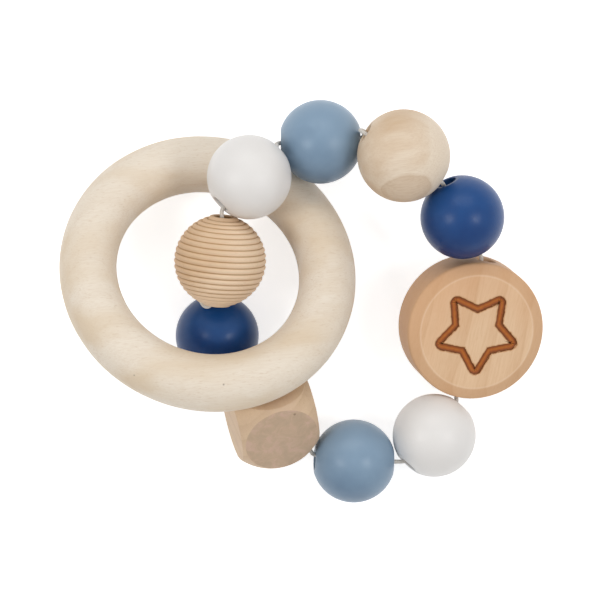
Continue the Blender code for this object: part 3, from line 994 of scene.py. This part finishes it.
@dataclass
class StarDisc(BoredPiece):
    """A thick turned disc, bored across, with a wide eased edge and a star burnt into one face."""

    diameter: float = 33.4
    thickness: float = 12.4
    edge_width: float = 2.7
    edge_drop: float = 1.0
    edge_round: float = 0.6
    face_round: float = 0.35
    face_rings: int = 5
    around: int = 160
    mouth_drop: float = 0.15
    star_depth: float = 0.5
    star_round: float = 0.28

    def star(self) -> bpy.types.Object:
        """Makes the tool that sinks the star's line: its band, with the lower edges eased.

        Returns:
            The tool, with its band halfway down at the origin.
        """
        star = self.finish.engraving
        half_tip = math.atan2(star.waist * math.sin(STAR_CORNER), 1 - star.waist * math.cos(STAR_CORNER))
        reach = star.reach + star.line / math.sin(half_tip)
        tool = started(
            bpy.ops.mesh.primitive_circle_add,
            vertices=10,
            radius=reach,
            fill_type="NGON",
            rotation=(0, 0, -math.pi / 2),
        )
        with Bench(tool) as bench:
            bench.pick(lambda p: round(math.atan2(p.y, p.x) / STAR_CORNER) % 2 == 1)
            bpy.ops.transform.resize(value=(star.waist,) * 3, center_override=ORIGIN)
            bench.pick(lambda p: p.length > reach * 0.98)
            blunt = star.line * 1.04 / math.tan(half_tip)
            bpy.ops.mesh.bevel(offset=blunt, segments=8, affect="VERTICES")
            bench.pick()
            bpy.ops.mesh.inset(thickness=star.line)
            bpy.ops.mesh.delete(type="FACE")
        modified(tool, "SOLIDIFY", thickness=2 * self.star_depth, offset=0.0, use_even_offset=True)
        round_edges(tool, self.star_round, sharper_than=50)
        return tool

    def shape(self) -> bpy.types.Object:
        """Turns the disc flat, engraves and drills it, then stands it with its bore along Z.

        Returns:
            The disc.
        """
        half, radius = self.thickness / 2, self.diameter / 2
        thing = started(
            bpy.ops.mesh.primitive_cylinder_add,
            vertices=self.around,
            radius=radius,
            depth=2 * (half - self.edge_drop),
        )
        # Rings of short faces, so that the engraving doesn't cut one face with all the sides
        ring = (radius - self.edge_width) / (self.face_rings + 1)
        with Bench(thing) as bench:
            for side in (1, -1):
                bench.pick(lambda p, side=side: p.z * side > 0)
                bpy.ops.mesh.inset(thickness=self.edge_width, depth=self.edge_drop)
                for _ in range(self.face_rings):
                    bpy.ops.mesh.inset(thickness=ring)
        round_edges(thing, self.edge_round, sharper_than=35, segments=5)
        round_edges(thing, self.face_round, sharper_than=17)
        tool = self.star()
        turn = Matrix.Rotation(math.radians(self.finish.engraving.turn), 4, "Z")
        tool.data.transform(Matrix.Translation((0, 0, half)) @ turn)
        cut(thing, tool)
        thing.data.transform(Matrix(((0, 0, 1, 0), (0, -1, 0, 0), (1, 0, 0, 0), (0, 0, 0, 1))))
        self.drill(thing, self.diameter - 2 * self.mouth_drop)
        return thing


@dataclass
class CornerCube(BoredPiece):
    """A cube tumbled until its corners follow a ball, drilled from corner to corner."""

    side: float = 19.1
    ball: float = 26.1
    length: float = 26.0
    edge_round: float = 0.5
    ball_sides: tuple[int, int] = (144, 96)
    merge: float = 0.12

    def shape(self) -> bpy.types.Object:
        """Slices a ball flat on the cube's six sides and at both mouths, eases the edges and drills it.

        Slicing leaves the mesh in another order each time, and merging close points depends on that order,
        so the result differs a little from one run to the next.

        Returns:
            The cube.
        """
        round_it, up_it = self.ball_sides
        thing = started(
            bpy.ops.mesh.primitive_uv_sphere_add, segments=round_it, ring_count=up_it, radius=self.ball / 2
        )
        stood = Matrix.Rotation(-math.atan(math.sqrt(2)), 3, "Y") @ Matrix.Rotation(-math.pi / 4, 3, "Z")
        ways = [Vector(way) * sign for way in ((1, 0, 0), (0, 1, 0), (0, 0, 1)) for sign in (1, -1)]
        slices = [(stood @ way, self.side / 2) for way in ways]
        slices += [(Vector((0, 0, sign)), self.length / 2) for sign in (1, -1)]
        with Bench(thing) as bench:
            for look, reach in slices:
                bench.pick()
                bpy.ops.mesh.bisect(plane_co=look * reach, plane_no=look, use_fill=True, clear_outer=True)
            bench.pick()
            bpy.ops.mesh.remove_doubles(threshold=self.merge)
            bpy.ops.mesh.select_all(action="DESELECT")
            bpy.ops.mesh.select_mode(type="EDGE")
            bpy.ops.mesh.edges_select_sharp(sharpness=math.radians(15))
            bpy.ops.mesh.bevel(offset=self.edge_round, segments=4, affect="EDGES", clamp_overlap=True)
            bpy.ops.mesh.select_mode(type="VERT")
            bench.close_seams()
        self.drill(thing, self.length)
        return thing


@dataclass
class Ring(Piece):
    """The teething ring: a round section turned from one board, sanded by hand and so never quite even."""

    outer: float = 71.2
    section: float = 13.8
    unevenness: float = 0.1
    wave_size: float = 9.0
    relief: float = 0.12  # sanded off all round, so that the cube can rock against it
    section_points: int = 72
    around: int = 216
    heading_joint: str = "ring_swing"

    def shape(self) -> bpy.types.Object:
        """Spins the round section about Z, and makes it a little uneven.

        Returns:
            The ring.
        """
        thing = started(
            bpy.ops.mesh.primitive_circle_add,
            vertices=self.section_points,
            radius=self.section / 2 - self.relief,
            fill_type="NOTHING",
            location=((self.outer - self.section) / 2, 0, 0),
            rotation=STANDING,
        )
        with Bench(thing) as bench:
            bench.spin(self.around)
        waves = bpy.data.textures.new("sanding", "CLOUDS")
        waves.noise_scale = self.wave_size
        settings = {"texture": waves, "texture_coords": "LOCAL", "mid_level": 0.5}
        modified(thing, "DISPLACE", strength=self.unevenness, **settings)
        return thing

    def place(self, joints: dict[str, dict]) -> Place:
        """Finds the ring's lean from its height: it lies on the ground on one side, and leans on the cube.

        Args:
            joints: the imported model's joints by name.

        Returns:
            The place.
        """
        joint = joints[self.heading_joint]
        low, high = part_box(self.node)
        lean = math.asin(((high.z - low.z) / MM - self.section) / (self.outer - self.section))
        turned = Matrix.Rotation(lean, 3, Vector(joint["axis"]))
        return Place(Vector(joint["pos_m"]), turned)


@dataclass
class Cord(Piece):
    """The elastic that the beads are threaded on, from one side of the knot round to the other."""

    thickness: float = 1.0
    spacing: float = 0.5
    route: Sequence[tuple[float, float, float]] = ()

    @property
    def body(self) -> str:
        """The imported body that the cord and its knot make."""
        return "cord"

    def place(self, joints: dict[str, dict]) -> Place:
        """The route is already in the row frame."""
        return Place(Vector(), Matrix.Identity(3))

    def shape(self) -> bpy.types.Object:
        """Runs a round tube along the route."""
        return tube(self.node, smooth_line(np.array(self.route), self.spacing), self.thickness / 2)

    def dress(self, thing: bpy.types.Object, place: Place) -> None:
        """Gives the cord its plaited cover."""
        thing.data.materials.append(self.finish.make())


@dataclass
class Knot(Cord):
    """The knot in the disc's bore, drawn up tight: the strand wraps four times round itself."""

    width: float = 3.66
    length: float = 4.96
    strand: float = 0.98
    wraps: float = 4.1
    points: int = 240
    sides: int = 12

    def place(self, joints: dict[str, dict]) -> Place:
        """The knot lies in the middle of the disc's bore."""
        return Place.on_bore(joints["star_disc_spin"])

    def shape(self) -> bpy.types.Object:
        """Winds the strand in from one end, round, and in again at the other.

        Returns:
            The knot.
        """
        share = np.linspace(0, 1, self.points)
        half = (self.length - self.strand) / 2
        reach = (self.width - self.strand) / 2
        # Each end lies nearer the middle, and winds out over the first tenth of the strand
        ends, tucked = 0.1, 0.35
        ease = np.clip(np.minimum(share, 1 - share) / ends, 0, 1)
        radius = reach * (tucked + (1 - tucked) * ease * ease * (3 - 2 * ease))
        turn = math.tau * self.wraps * share
        line = np.stack((radius * np.cos(turn), radius * np.sin(turn), half * (2 * share - 1)), axis=1)
        return tube(self.node, line, self.strand / 2, self.sides)


# ---------------------------------------------------------------------------------------------------------
# The room


@dataclass(frozen=True)
class SoftBox:
    """A lamp behind a square of white cloth, aimed at the toy. Sizes are in metres, strength in watts."""

    name: str
    place: tuple[float, float, float]
    size: tuple[float, float]
    power: float
    colour: str = "#ffffff"

    def hang(self) -> None:
        """Adds the lamp and aims it at the toy's middle."""
        place = Vector(self.place)
        aim = (-place).to_track_quat("-Z", "Y").to_euler()
        bpy.ops.object.light_add(type="AREA", location=place, rotation=aim)
        lamp = bpy.context.object
        lamp.name = self.name
        lamp.data.shape = "RECTANGLE"
        lamp.data.size, lamp.data.size_y = self.size
        lamp.data.energy = self.power
        lamp.data.color = linear(self.colour)[:3]


@dataclass
class Studio:
    """The white table, the light and the camera straight above the toy. Sizes are in metres."""

    lamps: Sequence[SoftBox]
    ambient: str = "#ffffff"
    ambient_strength: float = 0.5
    floor_colour: str = "#f4f4f4"
    floor_lift: float = 0.62
    floor_size: float = 6.0
    camera_height: float = 0.9
    camera_middle: tuple[float, float] = (-0.00063, 0.00050)
    view_width: float = 0.1443
    view_level: float = 0.010

    def lay_floor(self) -> None:
        """Lays a wide pale table top that shows white, and keeps the toy's soft shadow."""
        floor = started(bpy.ops.mesh.primitive_plane_add, size=self.floor_size)
        floor.name = "table"
        material, shader, add = new_material("white laminate table top")
        laminate = {"Roughness": 0.8, "Specular IOR Level": 0.2}
        set_node(shader, {"Base Color": linear(self.floor_colour)} | laminate)
        seen = self.seen_directly(add)
        glow = add("ShaderNodeEmission", {"Strength": self.floor_lift}).outputs[0]
        both = add("ShaderNodeAddShader", {0: shader.outputs[0], 1: glow}).outputs[0]
        mixed = add("ShaderNodeMixShader", {0: seen, 1: shader.outputs[0], 2: both}).outputs[0]
        set_node(material.node_tree.nodes["Material Output"], {"Surface": mixed})
        floor.data.materials.append(material)

    @staticmethod
    def seen_directly(add: AddNode) -> Socket:
        """Tells what the camera sees from other light.

        Args:
            add: adds a node to the tree.

        Returns:
            1 where the camera sees something itself, in a gloss or through glass, and 0 for other light.
        """
        path = add("ShaderNodeLightPath")
        share = path.outputs["Is Camera Ray"]
        for way in ("Is Glossy Ray", "Is Transmission Ray"):
            share = add(MATH, {"operation": "MAXIMUM", 0: share, 1: path.outputs[way]}).outputs[0]
        return share

    def light(self) -> None:
        """Hangs the lamps, and fills the room with even light in front of a white backdrop."""
        for lamp in self.lamps:
            lamp.hang()
        world = bpy.data.worlds.new("white room")
        bpy.context.scene.world = world
        world.use_nodes = True
        nodes, add = world.node_tree.nodes, partial(add_node, world.node_tree)
        fill = nodes["Background"]
        set_node(fill, {"Color": linear(self.ambient), "Strength": self.ambient_strength})
        backdrop = add("ShaderNodeBackground", {"Color": (1, 1, 1, 1), "Strength": 1.0}).outputs[0]
        seen = self.seen_directly(add)
        mixed = add("ShaderNodeMixShader", {0: seen, 1: fill.outputs[0], 2: backdrop}).outputs[0]
        set_node(nodes["World Output"], {"Surface": mixed})

    def set_camera(self) -> None:
        """Hangs the camera straight above the table, with the picture's top towards +Y."""
        bpy.ops.object.camera_add(location=(*self.camera_middle, self.camera_height), rotation=ORIGIN)
        camera = bpy.context.object
        camera.data.sensor_width = SENSOR_WIDTH
        camera.data.lens = SENSOR_WIDTH * (self.camera_height - self.view_level) / self.view_width
        camera.data.clip_start, camera.data.clip_end = 0.01, 20.0
        bpy.context.scene.camera = camera

    def build(self) -> None:
        """Makes the whole room."""
        self.lay_floor()
        self.light()
        self.set_camera()
        bpy.context.scene.view_settings.view_transform = "Standard"


# ---------------------------------------------------------------------------------------------------------
# Sizes, colours and places of this toy

# The elastic's points, in millimetres, in the row frame
CORD_ROUTE = (
    (39.79, -8.55, 9.56), (38.91, -13.22, 9.22), (37.99, -17.83, 8.77), (37.07, -22.47, 8.36),
    (36.84, -24.37, 8.68), (34.26, -28.19, 9.31), (31.64, -32.06, 9.96), (28.36, -34.85, 10.34),
    (25.08, -37.62, 10.74), (24.54, -38.07, 10.81), (23.83, -38.32, 10.81), (19.50, -38.29, 10.60),
    (15.18, -38.24, 10.47), (10.71, -37.93, 10.65), (6.75, -37.28, 11.27), (2.74, -36.55, 11.92),
    (1.76, -35.46, 12.64), (-1.74, -32.24, 13.35), (-4.70, -29.52, 13.91), (-7.67, -26.79, 14.45),
    (-11.40, -23.77, 14.22), (-15.12, -20.75, 13.98), (-18.19, -18.44, 13.76), (-18.85, -18.49, 12.89),
    (-18.84, -18.83, 11.05), (-18.84, -18.78, 10.07), (-18.92, -18.23, 9.21), (-19.06, -17.38, 8.83),
    (-19.79, -12.74, 9.40), (-20.54, -8.03, 9.99), (-21.58, -3.84, 11.69), (-22.68, 0.31, 13.31),
    (-23.17, 1.00, 13.83), (-23.90, 1.16, 14.53), (-24.12, 0.78, 15.51), (-24.22, 0.13, 16.25),
    (-23.43, -0.90, 17.77), (-22.66, -1.09, 18.24), (-21.93, -0.71, 18.75), (-21.51, 0.11, 19.14),
    (-20.64, 4.49, 20.25), (-19.76, 8.91, 21.37), (-19.41, 13.45, 22.70), (-19.19, 17.82, 24.06),
    (-19.08, 20.03, 24.76), (-19.14, 21.26, 25.57), (-19.00, 21.93, 25.87), (-16.12, 25.51, 25.74),
    (-13.14, 28.98, 25.50), (-10.14, 32.30, 24.38), (-7.15, 35.57, 23.09), (-6.65, 36.11, 22.88),
    (-6.26, 36.67, 22.44), (-6.11, 37.11, 21.81), (-6.22, 37.35, 21.09), (-6.12, 37.59, 20.37),
    (-5.62, 37.77, 19.82), (-4.89, 37.88, 19.49), (-0.33, 38.03, 18.87), (4.26, 38.19, 18.25),
    (8.91, 38.59, 18.76), (13.49, 38.99, 19.26), (14.33, 39.35, 19.65), (14.74, 40.01, 20.34),
    (14.58, 40.54, 21.15), (13.74, 40.68, 23.75), (13.72, 40.58, 24.67), (14.19, 40.21, 25.51),
    (14.99, 39.71, 25.87), (19.00, 37.39, 25.80), (23.06, 35.04, 25.73), (26.82, 32.63, 24.84),
    (30.33, 30.28, 23.77), (32.60, 28.66, 22.93), (33.46, 27.75, 22.20), (35.57, 24.30, 20.62),
    (37.67, 20.82, 19.04), (39.59, 17.09, 17.21), (41.54, 13.14, 15.24), (42.66, 10.95, 13.90),
    (42.76, 9.98, 13.56), (42.10, 5.31, 12.51), (41.41, 0.65, 11.48), (40.97, -3.17, 10.54),
)

# Which way the fibres run, in the piece's own directions: straight out of the cube's uppermost side, and
# nearly level in the natural ball
CUBE_FIBRES = Vector((0.816, 0.0, -0.577))
BALL_FIBRES = Vector((-0.209, 0.597, 0.775))

RING_BEECH = WoodFinish(
    name="bare beech, fine-sanded",
    light="#efe3d2",
    dark="#c9ac8a",
    tint="#dcc4a3",
    band_pitch=6.0,
    band_strength=0.12,
    fibre_strength=0.2,
    ray_strength=0.24,
    tint_strength=0.6,
    tint_size=9.0,
    pith=48.0,
    outward=(0.0, -0.25, 1.0),
    seed=1.0,
)
BALL_BEECH = WoodFinish(
    name="bare beech, turned and tumbled",
    light="#ecdcc7",
    dark="#b9946c",
    tint="#c9a67e",
    band_pitch=30.0,
    band_strength=0.45,
    band_stops=ONE_YEAR_END,
    fibre_strength=0.22,
    ray_strength=0.05,
    tint_strength=0.85,
    shade_side=(-0.11, 0.16, -0.04),
    speck_share=0.0,
    pith=37.5,
    outward=(0.46, 0.75, -0.48),
    seed=4.0,
)
CUBE_BEECH = WoodFinish(
    name="bare beech with end grain",
    light="#dcc0a0",
    dark="#b08e6b",
    tint="#d2b49a",
    end=("#b59d85", "#c0a58c", "#ccac99"),
    band_pitch=3.6,
    band_strength=0.25,
    band_stops=LATE_WOOD_RISE,
    fibre_strength=0.15,
    ray_strength=0.15,
    tint_strength=0.6,
    tint_size=5.0,
    end_strength=0.75,
    pith=31.0,
    outward=(-0.5, 0.8, 0.3),
    seed=6.0,
)
DISC_MAPLE = WoodFinish(
    name="bare maple with a burnt star",
    light="#e4c19c",
    dark="#c6966a",
    tint="#dba477",
    band_pitch=6.0,
    band_strength=0.3,
    band_stops=LATE_WOOD_RISE,
    fibre_strength=0.25,
    ray_strength=0.1,
    shade_side=(-0.09, 0.09, 0.0),
    pith=38.0,
    outward=(1.0, 0.1, 0.4),
    seed=9.0,
    engraving=Engraving(reach=8.7, waist=0.54, line=1.7, turn=10.0, face=13.8),
)
RIBBED_MAPLE = WoodFinish(
    name="bare maple, turned in ridges",
    light="#ecd1b3",
    dark="#cda67c",
    tint="#c79e70",
    band_pitch=9.0,
    band_strength=0.2,
    band_stops=LATE_WOOD_RISE,
    fibre_strength=0.15,
    ray_strength=0.1,
    shade_side=(-0.24, 0.17, 0.0),
    groove=(10.54, 10.76),
    groove_brown_and_shade="#a67f52",
    pith=37.0,
    outward=(0.3, 0.2, 0.9),
    seed=13.0,
)
WHITE = PaintFinish("satin white paint on wood", body="#ebe8e5", deep="#e4e0dc", seed=2.0)
LIGHT_BLUE = PaintFinish(
    "satin light blue paint on wood",
    body="#859eb5",
    deep="#69829b",
    shaded_side=(-0.05, -0.28, 0.0),
    roughness=0.36,
    specular=0.34,
    seed=5.0,
)
NAVY = PaintFinish(
    "satin navy paint on wood",
    body="#1c4983",
    deep="#0f3067",
    shaded_side=(-0.05, -0.25, 0.0),
    roughness=0.32,
    specular=0.26,
    seed=8.0,
)

STUDIO = Studio(
    lamps=(
        SoftBox("left softbox", (-0.62, -0.08, 0.85), (0.24, 0.30), 2.15),
        SoftBox("right softbox", (0.62, -0.08, 0.85), (0.24, 0.30), 2.15),
        SoftBox("back softbox", (0.0, 0.8, 0.75), (1.0, 0.5), 2.7),
    ),
)


def pieces() -> list[Piece]:
    """Lists every piece of the toy, in threading order, then the ring and the elastic.

    Returns:
        The pieces.
    """
    return [
        Ball("white_bead_upper", Slot.WHITE, WHITE),
        Ball("light_blue_bead_upper", Slot.LIGHT_BLUE, LIGHT_BLUE),
        Ball("natural_bead", Slot.BEECH, BALL_BEECH, grain=BALL_FIBRES, diameter=22.0),
        Ball("navy_bead_outer", Slot.NAVY, NAVY),
        StarDisc("star_disc", Slot.MAPLE, DISC_MAPLE, turn=166.0),
        Ball("white_bead_lower", Slot.WHITE, WHITE),
        Ball("light_blue_bead_lower", Slot.LIGHT_BLUE, LIGHT_BLUE),
        CornerCube("cube_bead", Slot.BEECH, CUBE_BEECH, grain=CUBE_FIBRES, turn=160.0, ends_from=0.88),
        Ball("navy_bead_inner", Slot.NAVY, NAVY),
        RibbedBall("ribbed_bead", Slot.MAPLE, RIBBED_MAPLE, grain=Vector(Grain.LEVEL.value)),
        Ring("teething_ring", Slot.BEECH, RING_BEECH, grain=Vector((1.0, 0.12, 0.0))),
        Cord("elastic_cord", Slot.ELASTIC, ElasticFinish(), route=CORD_ROUTE, smooth_angle=60.0),
        Knot("cord_knot", Slot.ELASTIC, ElasticFinish(), smooth_angle=60.0),
    ]


def main() -> None:
    """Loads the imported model, builds each piece on it, and then the room."""
    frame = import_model()
    joints = {joint["name"]: joint for joint in frame["joints"]}
    for piece in pieces():
        piece.build(joints)
    STUDIO.build()


if __name__ == "__main__":
    logging.basicConfig(level=logging.INFO, format="%(message)s", stream=sys.stdout)
    main()
